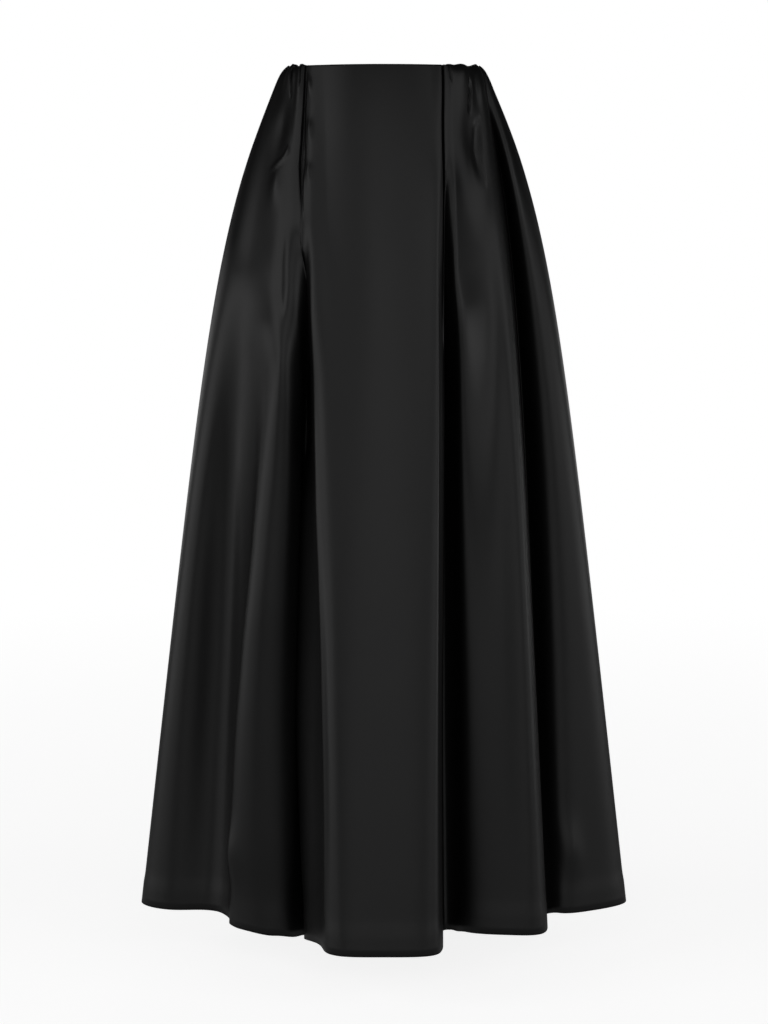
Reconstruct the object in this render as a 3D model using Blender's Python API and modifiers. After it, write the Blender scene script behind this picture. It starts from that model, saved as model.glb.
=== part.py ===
"""A full-length gathered skirt in heavy black satin, hollow, in the shape it has when worn.

Sizes are in metres. +Z is up and the front faces -Y. Left and right are as seen from the front, so
left is -X. The origin is the centre of the waist, where the wearer holds the skirt up.
"""

import math

import bmesh
import bpy
import numpy as np
from mathutils import Matrix

# The whole garment
LENGTH = 1.04                # drop from the waist edge to the hem
EDGE_ABOVE_WAIST = 0.010     # the waist edge stands this far above the origin
CLOTH = 0.0016               # thickness of the cloth with its turned-in layers
SEAM_GAP = 0.0003            # between two pieces that are sewn together

# The outline from above, as half widths and depths of the waist and the hem
WAIST_HALF_WIDTH = 0.114
WAIST_DEPTH = 0.0885
HEM_HALF_WIDTH = 0.306
HEM_FRONT_DEPTH = 0.234
HEM_BACK_DEPTH = 0.226

# The outline from the front: a straight flare with a rounded hip on top of it
FLARE_SLOPE = 0.1175         # how fast the lower part widens, per metre of drop
HIP_LENGTH = 0.136           # drop over which the hip rounds into the flare
DEPTH_FOLLOWS_HIP = 0.45     # share of the depth that grows with the hip; the rest grows evenly
PUFF = 0.0065                # how far the gathers stand out just below the waist edge
PUFF_START = 0.006
PUFF_FADE = 0.040

# Fold lines, from the centre back by the left side round to the front and back by the right side:
# the angle at the waist in degrees from the centre front, the place at the hem, how far the line
# strays across at the hip and forward in the middle, the drop at which the fold starts to open, and how
# much lower than the rest the hem hangs there.
FOLD_LINES = (
    # name, waist_angle, hem_across, hem_forward, hip_across, middle_forward, opens_at, hem_low
    ("centre_back", -180.0, 0.0000, -0.2240, 0.000, 0.000, 0.00, 0.000),
    ("back_left_flat", -166.0, -0.0460, -0.2190, 0.000, 0.000, 0.00, 0.000),
    ("back_left_edge", -153.0, -0.0740, -0.1960, 0.000, 0.000, 0.15, 0.000),
    ("back_left_fold", -148.0, -0.0920, -0.1220, -0.012, 0.006, 0.15, 0.000),
    ("back_left_ridge", -134.0, -0.1420, -0.1460, -0.004, 0.000, 0.15, 0.000),
    ("back_left_turn", -117.0, -0.1880, -0.1180, -0.006, 0.000, 0.08, 0.000),
    ("back_left_side_fold", -108.0, -0.2120, -0.0620, -0.018, 0.008, 0.05, 0.000),
    ("back_left_side_ridge", -98.0, -0.2720, -0.0460, -0.010, 0.000, 0.10, 0.000),
    ("left_side", -90.0, -0.3060, 0.0000, 0.000, 0.000, 0.00, 0.000),
    ("left_cheek", -81.0, -0.2640, 0.0370, -0.008, 0.006, 0.20, 0.000),
    ("left_hollow", -73.0, -0.2080, 0.0440, -0.010, 0.000, 0.24, 0.000),
    ("left_ridge", -64.0, -0.1700, 0.1000, 0.004, 0.012, 0.30, 0.005),
    ("left_crest", -58.0, -0.1330, 0.1130, 0.000, 0.004, 0.34, 0.009),
    ("left_shade", -54.0, -0.1060, 0.1010, -0.006, -0.002, 0.26, 0.014),
    ("left_fold", -51.0, -0.0790, 0.0880, -0.007, -0.002, 0.18, 0.017),
    ("panel_left_edge", -48.5, -0.0675, 0.2020, -0.006, 0.003, 0.18, 0.000),
    ("panel_left", -36.0, -0.0500, 0.2300, -0.002, 0.000, 0.00, 0.000),
    ("panel_centre", -7.5, 0.0000, 0.2335, 0.000, 0.000, 0.00, 0.000),
    ("panel_right", 22.0, 0.0500, 0.2300, 0.002, 0.000, 0.00, 0.000),
    ("panel_right_edge", 34.0, 0.0695, 0.2030, 0.006, 0.003, 0.12, 0.000),
    ("right_fold", 36.5, 0.0745, 0.1060, 0.005, -0.004, 0.10, 0.005),
    ("right_rise", 41.0, 0.0870, 0.1120, 0.003, -0.002, 0.24, 0.004),
    ("right_face", 48.0, 0.1010, 0.1320, 0.001, 0.000, 0.28, 0.000),
    ("right_ridge", 59.0, 0.1550, 0.1447, 0.002, 0.002, 0.10, 0.000),
    ("right_edge", 75.0, 0.1950, 0.1320, 0.000, 0.015, 0.02, 0.000),
    ("right_side_fold", 79.5, 0.2015, 0.0420, 0.005, -0.010, 0.02, 0.004),
    ("right_side_shade", 83.0, 0.2180, 0.0500, 0.011, 0.000, 0.12, 0.000),
    ("right_cheek", 86.5, 0.2600, 0.0390, 0.012, 0.008, 0.10, 0.000),
    ("right_side", 90.0, 0.3060, -0.0040, 0.000, 0.000, 0.00, 0.000),
    ("back_right_side_ridge", 99.0, 0.2660, -0.0520, 0.008, 0.000, 0.12, 0.000),
    ("back_right_side_fold", 110.0, 0.2060, -0.0660, 0.016, 0.008, 0.05, 0.000),
    ("back_right_turn", 119.0, 0.1830, -0.1240, 0.006, 0.000, 0.08, 0.000),
    ("back_right_ridge", 136.0, 0.1360, -0.1500, 0.004, 0.000, 0.17, 0.000),
    ("back_right_fold", 149.0, 0.0880, -0.1180, 0.012, 0.008, 0.17, 0.000),
    ("back_right_edge", 154.0, 0.0720, -0.1980, 0.000, 0.000, 0.17, 0.000),
    ("back_right_flat", 167.0, 0.0440, -0.2200, 0.000, 0.000, 0.00, 0.000),
)
OPENING_EASE = 2.2           # how much faster a fold opens at its top than at the hem
OPENING_START = 0.06         # share of its length over which a fold starts softly
HIP_PEAK = 27 / 4            # brings the stray at the hip to 1 where it is largest, at a third of the length
MIDDLE_PEAK = 4              # brings the stray in the middle to 1 at half the length
FULL_TURN = 360.0

# Gathers, each a ridge in the cloth that starts at the waist edge: the angle of its crest and half its
# width in degrees, how far it stands out, and the drop over which it dies away.
GATHERS = (
    # waist_angle, half_width, height, run
    (-130.5, 5.0, 0.0030, 0.040),
    (-120.0, 5.5, 0.0044, 0.055),
    (-108.5, 6.0, 0.0038, 0.070),
    (-96.0, 6.5, 0.0048, 0.050),
    (-83.0, 6.5, 0.0040, 0.065),
    (-68.5, 8.0, 0.0056, 0.045),
    (-55.7, 4.7, 0.0040, 0.035),
    (42.5, 5.0, 0.0022, 0.022),
    (53.0, 9.5, 0.0036, 0.045),
    (70.5, 8.0, 0.0052, 0.075),
    (84.5, 6.0, 0.0040, 0.050),
    (96.5, 6.0, 0.0046, 0.065),
    (108.0, 5.5, 0.0036, 0.045),
    (118.5, 5.0, 0.0044, 0.060),
    (128.5, 5.0, 0.0028, 0.040),
)
GATHERED_STRETCHES = ((-135.5, -51.0), (36.5, 133.5))
GATHER_EDGE = 0.60           # share of their height that the gathers have at the waist edge itself
GATHER_EDGE_RUN = 0.008
GATHER_RISE = 0.9            # how far a crest rises above the waist edge, as a share of how far it stands out
GATHER_RISE_RUN = 0.010
PUFF_ENDS = 12.0             # degrees over which the puff under the gathers grows from nothing

# Cut pieces, each from one fold line to another
PIECES = (
    # name, from fold line, to fold line
    ("back_left", "centre_back", "left_side"),
    ("front_left", "left_side", "left_fold"),
    ("front_centre", "left_fold", "right_fold"),
    ("front_right", "right_fold", "right_side"),
    ("back_right", "right_side", "centre_back"),
)

# Mesh spacing
COLUMN_AT_HEM = 0.017
COLUMN_AT_WAIST = 0.010
COLUMN_IN_GATHERS = 2.3      # in degrees at the waist
ROW_DROPS = (0.0, 0.005, 0.012, 0.022, 0.034, 0.050, 0.070, 0.096, 0.128, 0.168, 0.214,
             0.268, 0.332, 0.408, 0.494, 0.586, 0.680, 0.774, 0.866, 0.956, 1.040)
EDGE_ROUNDING = 0.0006       # height of the rounded top of the waist edge
NUDGE = 0.001                # step in columns and in metres of drop that gives the cloth's directions
SHARP_ANGLE = 60             # in degrees; the cloth is shaded smooth below it

# Concealed zip in the centre back seam
TAPE_TOP = 0.006             # drop from the waist edge to the top of the tapes
TAPE_END = 0.190
TAPE_WIDTH = 0.012
TAPE = 0.0008
TAPE_ROUNDING = 0.0002       # height of the rounded top of a tape
TAPE_TRIAL = 0.5             # columns from the seam to a trial point that gives the columns' spacing
SLIDER_DROP = 0.014          # drop from the waist edge to the slider's pivot
SLOT_HALF_WIDTH = 0.0013     # the seam stands open this far each side of the slider's neck
SLOT_REACH = 0.016           # and closes again this far above and below it
SLIDER_BODY = (0.0070, 0.0026, 0.0100)
SLIDER_ROUNDING = 0.0007
SLIDER_ROUNDING_STEPS = 2
NECK_WIDTH = 0.0015          # across the seam, of the neck and of the ring on it
NECK_HEIGHT = 0.0036
RING_RADIUS = 0.0021         # the ring that the pull tab hangs in
RING_EYE_RADIUS = 0.0013
PULL_LENGTH = 0.0210
PULL_THICKNESS = 0.0010
PULL_TOP_RADIUS = 0.00225
PULL_END_RADIUS = 0.0030
PULL_EYE_RADIUS = 0.00135
PULL_EYE_DROP = 0.0017       # from the pivot down to the middle of the tab's eye
PULL_REST_GAP = 0.0005       # between the tab's end and the cloth that it leans on
ARC_STEPS = 12
MERGE = 0.00001

SATIN = ((0.012, 0.012, 0.013, 1.0), 0.42, 0.0)
TAPE_CLOTH = ((0.016, 0.016, 0.018, 1.0), 0.85, 0.0)
ZIP_METAL = ((0.020, 0.020, 0.022, 1.0), 0.35, 0.6)


def rib(name):
    """The place of a fold line in the table."""
    return [row[0] for row in FOLD_LINES].index(name)


def half_width(drop):
    """Half the skirt's width, seen from the front, at a drop below the waist edge."""
    flare_at_waist = HEM_HALF_WIDTH - FLARE_SLOPE * LENGTH
    hip = (flare_at_waist - WAIST_HALF_WIDTH) * np.exp(-drop / HIP_LENGTH)
    return flare_at_waist + FLARE_SLOPE * drop - hip


def across_share(drop):
    """How far the width has grown from the waist to the hem, from 0 to 1."""
    top, end = half_width(0.0), half_width(LENGTH)
    return (half_width(drop) - top) / (end - top)


def forward_share(drop):
    """How far the depth has grown from the waist to the hem, from 0 to 1."""
    return DEPTH_FOLLOWS_HIP * across_share(drop) + (1 - DEPTH_FOLLOWS_HIP) * drop / LENGTH


def opening(drop, opens_at):
    """How far a fold has opened at a drop, from 0 above its start to 1 at the hem."""
    run = np.clip((drop - opens_at) / (LENGTH - opens_at), 0.0, 1.0)
    soft = run * run / (run + OPENING_START) * (1 + OPENING_START)
    return (1 - np.exp(-OPENING_EASE * soft)) / (1 - math.exp(-OPENING_EASE))


def hip_stray(drop):
    """How much of its hip shift a fold line has at a drop: none at the waist and hem, all at a third."""
    share = drop / LENGTH
    return HIP_PEAK * share * (1 - share) ** 2


def middle_bulge(drop):
    """How much of its middle shift a fold line has at a drop: none at the waist and hem, all halfway."""
    share = drop / LENGTH
    return MIDDLE_PEAK * share * (1 - share)


def hem_drop(columns, drop):
    """How far the cloth hangs below its even height at a drop, because less of it slants outwards."""
    lows = np.array([row[-1] for row in FOLD_LINES] + [FOLD_LINES[0][-1]])
    line = np.floor(columns).astype(int) % len(FOLD_LINES)
    share = columns - np.floor(columns)
    soft = share * share * (3 - 2 * share)
    return (lows[line] + (lows[line + 1] - lows[line]) * soft) * (drop / LENGTH) ** 2


def smooth_hem(across, front):
    """How far forward the hem would stand there if the cloth had no folds."""
    depth = HEM_FRONT_DEPTH if front else -HEM_BACK_DEPTH
    return depth * math.sqrt(max(0.0, 1 - (across / HEM_HALF_WIDTH) ** 2))


def fold_line_points(drop):
    """Where every fold line stands at a drop: one (across, forward) row for each."""
    points = []
    stray, middle = hip_stray(drop), middle_bulge(drop)
    for _, waist_angle, hem_across, hem_forward, hip_across, middle_forward, opens_at, _ in FOLD_LINES:
        angle = math.radians(waist_angle)
        waist = WAIST_HALF_WIDTH * math.sin(angle), WAIST_DEPTH * math.cos(angle)
        smooth = smooth_hem(hem_across, abs(waist_angle) < 90)
        fold = (hem_forward - smooth) * opening(drop, opens_at)
        across = waist[0] + (hem_across - waist[0]) * across_share(drop) + hip_across * stray
        forward = waist[1] + (smooth - waist[1]) * forward_share(drop) + fold + middle_forward * middle
        points.append((across, forward))
    return np.array(points)


def closed_spline(points, columns):
    """A smooth closed curve through the points, read at columns such as 3.25 for a quarter past point 3.

    Returns the places and the tangents. The curve is a cubic spline with centripetal spacing.
    """
    count = len(points)
    following = np.roll(points, -1, axis=0)
    span = np.linalg.norm(following - points, axis=1) ** 0.5
    before = np.roll(span, 1)
    system = np.zeros((count, count))
    right = np.zeros((count, 2))
    rise = (following - points) / span[:, None]
    for i in range(count):
        system[i, i - 1] += before[i]
        system[i, i] += 2 * (before[i] + span[i])
        system[i, (i + 1) % count] += span[i]
        right[i] = 6 * (rise[i] - rise[i - 1])
    bend = np.linalg.solve(system, right)
    i = np.floor(columns).astype(int) % count
    j = (i + 1) % count
    h = span[i][:, None]
    t = (columns - np.floor(columns))[:, None] * h
    slope = rise[i] - h * (2 * bend[i] + bend[j]) / 6
    place = points[i] + slope * t + bend[i] * t ** 2 / 2 + (bend[j] - bend[i]) * t ** 3 / (6 * h)
    tangent = slope + bend[i] * t + (bend[j] - bend[i]) * t ** 2 / (2 * h)
    return place, tangent


def waist_angles(columns):
    """The angle at the waist, in degrees, of each column, from one fold line before the first one on."""
    angles = [row[1] for row in FOLD_LINES]
    angles = [angles[-1] - FULL_TURN] + angles + [angles[0] + FULL_TURN]
    return np.interp(columns, np.arange(-1, len(FOLD_LINES) + 1), angles)


def gather_relief(angles, drop):
    """How far the gathers push the cloth out at each column."""
    relief = np.zeros_like(angles)
    edge = 1 - (1 - GATHER_EDGE) * math.exp(-drop / GATHER_EDGE_RUN)
    for waist_angle, half_width_deg, height, run in GATHERS:
        from_crest = np.clip((angles - waist_angle) / half_width_deg, -1, 1)
        relief += height * edge * math.exp(-drop / run) * (1 + np.cos(np.pi * from_crest)) / 2
    puff = PUFF * (1 - math.exp(-drop / PUFF_START)) * math.exp(-drop / PUFF_FADE)
    for first, last in GATHERED_STRETCHES:
        inside = np.minimum(angles - first, last - angles) / PUFF_ENDS
        relief += puff * np.sin(np.clip(inside, 0, 1) * np.pi / 2) ** 2
    return relief


def section(columns, drop):
    """The outer face of the cloth at one drop: points in 3-D and outward directions, one for each column."""
    columns = np.asarray(columns, float)
    flat, tangent = closed_spline(fold_line_points(drop), columns)
    outward = np.stack([-tangent[:, 1], tangent[:, 0]], axis=1)
    outward /= np.linalg.norm(outward, axis=1)[:, None]
    flat = flat + outward * gather_relief(waist_angles(columns), drop)[:, None]
    rise = GATHER_RISE * math.exp(-drop / GATHER_RISE_RUN) * gather_relief(waist_angles(columns), 0.0)
    height = EDGE_ABOVE_WAIST - drop - hem_drop(columns, drop) + rise
    return np.stack([flat[:, 0], -flat[:, 1], height], axis=1)


def cloth_face(columns, drops):
    """Outer points of a stretch of cloth and its outward directions, as rows by columns by 3."""
    points = np.array([section(columns, drop) for drop in drops])
    lower = np.array([section(columns, drop + NUDGE) for drop in drops])
    beside = np.array([section(np.asarray(columns) + NUDGE, drop) for drop in drops])
    outward = np.cross(lower - points, beside - points)
    outward /= np.linalg.norm(outward, axis=2)[:, :, None]
    return points, outward


def columns_between(start, end):
    """Column places from one fold line to another, close enough for the folds and the gathers."""
    count = len(FOLD_LINES)
    waist, hem = fold_line_points(0.0), fold_line_points(LENGTH)
    places = []
    for line in range(start, end):
        here, there = line % count, (line + 1) % count
        at_waist = np.linalg.norm(waist[there] - waist[here]) / COLUMN_AT_WAIST
        at_hem = np.linalg.norm(hem[there] - hem[here]) / COLUMN_AT_HEM
        first, last = waist_angles([line, line + 1])
        gathered = sum(max(0.0, min(high, last) - max(low, first)) for low, high in GATHERED_STRETCHES)
        steps = max(2, math.ceil(max(at_waist, at_hem, gathered / COLUMN_IN_GATHERS)))
        places.extend(line + np.arange(steps) / steps)
    return np.array(places + [end], float)


def material(name, finish):
    colour, roughness, metallic = finish
    made = bpy.data.materials.new(name)
    made.use_nodes = True
    shader = made.node_tree.nodes["Principled BSDF"]
    shader.inputs["Base Color"].default_value = colour
    shader.inputs["Roughness"].default_value = roughness
    shader.inputs["Metallic"].default_value = metallic
    return made


def wall_between(name, outer, inner, crest, finish, collection):
    """A closed wall from its outer and inner points, both rows by columns, rounded over at its top row."""
    rows, columns = outer.shape[:2]
    vertices = np.concatenate([outer.reshape(-1, 3), inner.reshape(-1, 3), crest])
    back, top = rows * columns, 2 * rows * columns
    faces = []
    for r in range(rows - 1):
        for c in range(columns - 1):
            a, b = r * columns + c, (r + 1) * columns + c
            faces.append((a, b, b + 1, a + 1))
            faces.append((back + a, back + a + 1, back + b + 1, back + b))
        left, below = r * columns, (r + 1) * columns
        right, below_right = left + columns - 1, below + columns - 1
        faces.append((left, back + left, back + below, below))
        faces.append((right, below_right, back + below_right, back + right))
    last = (rows - 1) * columns
    for c in range(columns - 1):
        faces.append((last + c, back + last + c, back + last + c + 1, last + c + 1))
        faces.append((c, c + 1, top + c + 1, top + c))
        faces.append((back + c, top + c, top + c + 1, back + c + 1))
    faces.append((0, top, back))
    faces.append((columns - 1, back + columns - 1, top + columns - 1))
    mesh = bpy.data.meshes.new(name)
    mesh.from_pydata(vertices.tolist(), [], faces)
    mesh.shade_smooth()
    mesh.set_sharp_from_angle(angle=math.radians(SHARP_ANGLE))
    piece = bpy.data.objects.new(name, mesh)
    piece.data.materials.append(material(name + "_finish", finish))
    collection.objects.link(piece)
    return piece


def zip_opening(drop):
    """How far each edge of the centre back seam stands from its middle, more round the zip slider."""
    nearness = max(0.0, 1 - abs(drop - SLIDER_DROP) / SLOT_REACH)
    return SEAM_GAP / 2 + (SLOT_HALF_WIDTH - SEAM_GAP / 2) * nearness


def trimmed(points, drops, zip_edge):
    """Moves the side edges of a piece in by half a seam gap, and the edge at the zip by its opening."""
    points = points.copy()
    for edge, inner in ((0, 1), (-1, -2)):
        for row, drop in enumerate(drops):
            pull = zip_opening(drop) if edge == zip_edge else SEAM_GAP / 2
            side = points[row, inner] - points[row, edge]
            points[row, edge] += side / np.linalg.norm(side) * pull
    return points


def cut_piece(name, start, end, collection):
    """One cut piece of the skirt, as a wall."""
    first, last = rib(start), rib(end) or len(FOLD_LINES)
    columns = columns_between(first, last)
    points, outward = cloth_face(columns, ROW_DROPS)
    zip_edge = {"back_left": 0, "back_right": -1}.get(name)
    outer = trimmed(points, ROW_DROPS, zip_edge)
    inner = trimmed(points - outward * CLOTH, ROW_DROPS, zip_edge)
    crest = (outer[0] + inner[0]) / 2 + np.array([0, 0, EDGE_ROUNDING])
    return wall_between(name, outer, inner, crest, SATIN, collection)


def section_beside(across, drop):
    """The point of the outer face near the centre back that lies this far across, at a drop."""
    trial = -math.copysign(TAPE_TRIAL, across)
    near = section([0.0, trial], drop)
    return section([trial * across / (near[1, 0] - near[0, 0])], drop)[0]


def zip_tape(name, side, collection):
    """One of the two tapes behind the centre back seam; side is -1 for the left one and 1 for the right."""
    drops = [TAPE_TOP] + [drop for drop in ROW_DROPS if TAPE_TOP < drop < TAPE_END] + [TAPE_END]
    rows = []
    for drop in drops:
        place, outward = (face[0, 0] for face in cloth_face([0.0], [drop]))
        reach = place + np.array([[side * zip_opening(drop), 0, 0], [side * TAPE_WIDTH / 2, 0, 0],
                                  [side * TAPE_WIDTH, 0, 0]])
        beside = np.array([section_beside(point[0], drop) for point in reach])
        rows.append(np.array([beside, beside - outward * TAPE]) - outward * (CLOTH + SEAM_GAP))
    outer, inner = np.array(rows).transpose(1, 0, 2, 3)
    if side > 0:
        outer, inner = outer[:, ::-1], inner[:, ::-1]
    crest = (outer[0] + inner[0]) / 2 + np.array([0, 0, TAPE_ROUNDING])
    wall_between(name, outer, inner, crest, TAPE_CLOTH, collection)


def outline_curve(name, outline, hole_centre, hole_radius, thickness):
    """A flat plate in its own XY plane, with one round hole in it."""
    curve = bpy.data.curves.new(name, "CURVE")
    curve.dimensions = "2D"
    curve.fill_mode = "BOTH"
    curve.extrude = thickness / 2
    angles = [2 * math.pi * step / (2 * ARC_STEPS) for step in range(2 * ARC_STEPS)]
    hole = [(hole_centre[0] + hole_radius * math.cos(a), hole_centre[1] + hole_radius * math.sin(a))
            for a in angles]
    for points in (outline, hole):
        spline = curve.splines.new("POLY")
        spline.points.add(len(points) - 1)
        for point, (x, y) in zip(spline.points, points):
            point.co = (x, y, 0, 1)
        spline.use_cyclic_u = True
    return bpy.data.objects.new(name, curve)


def arc(centre, radius, start, end):
    """Points on an arc, from a start to an end angle in degrees."""
    angles = [math.radians(start + (end - start) * step / ARC_STEPS) for step in range(ARC_STEPS + 1)]
    return [(centre[0] + radius * math.cos(a), centre[1] + radius * math.sin(a)) for a in angles]


def pivot_frame():
    """The pull tab's pivot, and how far the cloth under it leans back from upright."""
    place, outward = (face[0, 0] for face in cloth_face([0.0], [SLIDER_DROP]))
    lean = math.atan2(outward[2], outward[1])
    return place + outward * (RING_RADIUS + SEAM_GAP), lean


def empty(name, place, lean, collection):
    holder = bpy.data.objects.new(name, None)
    holder.location = place
    holder.rotation_euler = (lean, 0, 0)
    collection.objects.link(holder)
    return holder


def zip_slider(collection, helpers):
    """The slider behind the tapes, with a neck through the seam and the ring that the pull hangs in."""
    place, lean = pivot_frame()
    holder = empty("zip_slider_place", place, lean, collection)
    body_face = -(RING_RADIUS + SEAM_GAP + CLOTH + SEAM_GAP + TAPE + SEAM_GAP)
    bpy.ops.mesh.primitive_cube_add(size=1)
    slider = bpy.context.object
    slider.name = "zip_slider"
    slider.data.transform(Matrix.Diagonal((*SLIDER_BODY, 1)))
    slider.location = (0, body_face - SLIDER_BODY[1] / 2, 0)
    slider.parent = holder
    for owner in slider.users_collection:
        owner.objects.unlink(slider)
    collection.objects.link(slider)
    slider.data.materials.append(material("zip_slider_finish", ZIP_METAL))
    rounding = slider.modifiers.new("rounding", "BEVEL")
    rounding.width = SLIDER_ROUNDING
    rounding.segments = SLIDER_ROUNDING_STEPS
    half = NECK_HEIGHT / 2
    meets = math.degrees(math.asin(half / RING_RADIUS))
    root = body_face - SLIDER_BODY[1] / 2
    outline = [(root, -half)] + arc((0, 0), RING_RADIUS, meets - 180, 180 - meets) + [(root, half)]
    plate = outline_curve("neck_outline", outline, (0, 0), RING_EYE_RADIUS, NECK_WIDTH)
    helpers.objects.link(plate)
    bpy.context.view_layer.update()
    mesh = bpy.data.meshes.new_from_object(plate.evaluated_get(bpy.context.evaluated_depsgraph_get()))
    bpy.data.objects.remove(plate)
    welded = bmesh.new()
    welded.from_mesh(mesh)
    bmesh.ops.remove_doubles(welded, verts=welded.verts, dist=MERGE)
    bmesh.ops.recalc_face_normals(welded, faces=welded.faces)
    welded.to_mesh(mesh)
    welded.free()
    neck = bpy.data.objects.new("neck_and_ring", mesh)
    neck.parent = holder
    neck.rotation_euler = (math.radians(90), 0, math.radians(90))
    neck.hide_render = True
    neck.display_type = "WIRE"
    helpers.objects.link(neck)
    joined = slider.modifiers.new("neck_and_ring", "BOOLEAN")
    joined.operation = "UNION"
    joined.object = neck


def zip_pull(collection):
    """The tab that hangs in the slider's ring; its holder stands on the hinge axis, which runs along X."""
    place, lean = pivot_frame()
    room = RING_RADIUS + SEAM_GAP - PULL_THICKNESS / 2 - PULL_REST_GAP
    holder = empty("zip_pull_axis", place, lean - math.asin(room / PULL_LENGTH), collection)
    top = (0, -PULL_EYE_DROP)
    end = (0, PULL_TOP_RADIUS - PULL_EYE_DROP - PULL_LENGTH + PULL_END_RADIUS)
    slant = math.degrees(math.asin((PULL_END_RADIUS - PULL_TOP_RADIUS) / (top[1] - end[1])))
    round_top = arc(top, PULL_TOP_RADIUS, slant, 180 - slant)
    round_end = arc(end, PULL_END_RADIUS, 180 - slant, 360 + slant)
    pull = outline_curve("zip_pull", round_top + round_end, top, PULL_EYE_RADIUS, PULL_THICKNESS)
    pull.rotation_euler = (math.radians(90), 0, 0)
    pull.parent = holder
    pull.data.materials.append(material("zip_pull_finish", ZIP_METAL))
    collection.objects.link(pull)


def build():
    for obj in list(bpy.data.objects):
        bpy.data.objects.remove(obj)
    skirt = bpy.data.collections.new("maxi_skirt")
    helpers = bpy.data.collections.new("joined_shapes")
    for collection in (skirt, helpers):
        bpy.context.scene.collection.children.link(collection)
    for name, start, end in PIECES:
        cut_piece(name, start, end, skirt)
    zip_tape("zip_tape_left", -1, skirt)
    zip_tape("zip_tape_right", 1, skirt)
    zip_slider(skirt, helpers)
    zip_pull(skirt)


build()
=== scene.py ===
"""The looks of a full-length gathered skirt in heavy black satin, hollow, in the shape it has when worn.

Sizes are in metres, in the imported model's frame: +Z up, front towards -Y, and left and right as seen
from the front. A place on the skirt is given by its drop below the waist edge and by its angle at the
waist in degrees from the centre front.
"""
import math

import bpy
import numpy as np
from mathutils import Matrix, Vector


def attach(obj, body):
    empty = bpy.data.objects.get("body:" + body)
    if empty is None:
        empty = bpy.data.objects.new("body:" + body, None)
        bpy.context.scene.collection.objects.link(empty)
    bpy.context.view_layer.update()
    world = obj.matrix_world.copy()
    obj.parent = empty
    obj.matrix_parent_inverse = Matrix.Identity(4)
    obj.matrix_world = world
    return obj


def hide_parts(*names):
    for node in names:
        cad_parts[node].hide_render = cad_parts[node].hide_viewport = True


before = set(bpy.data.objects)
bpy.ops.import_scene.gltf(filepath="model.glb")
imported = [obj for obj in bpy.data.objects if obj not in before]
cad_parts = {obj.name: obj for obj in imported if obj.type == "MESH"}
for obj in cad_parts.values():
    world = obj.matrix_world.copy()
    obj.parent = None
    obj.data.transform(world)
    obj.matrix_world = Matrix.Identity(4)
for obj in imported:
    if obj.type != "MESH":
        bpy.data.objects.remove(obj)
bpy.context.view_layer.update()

# The whole garment, as in the model's source
LENGTH = 1.04
EDGE_ABOVE_WAIST = 0.010
WAIST_HALF_WIDTH = 0.114
WAIST_DEPTH = 0.0885
HEM_HALF_WIDTH = 0.306
HEM_FRONT_DEPTH = 0.234
HEM_BACK_DEPTH = 0.226
FLARE_SLOPE = 0.1175
HIP_LENGTH = 0.136
DEPTH_FOLLOWS_HIP = 0.45
PUFF = 0.0065                # how far the gathered cloth swells out just below the waist edge
PUFF_START = 0.006
PUFF_FADE = 0.040
PUFF_ENDS = 12.0             # degrees over which it fades at the ends of a gathered stretch
OPENING_EASE = 2.2           # how much sooner a fold opens than in an even run
OPENING_START = 0.06

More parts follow.
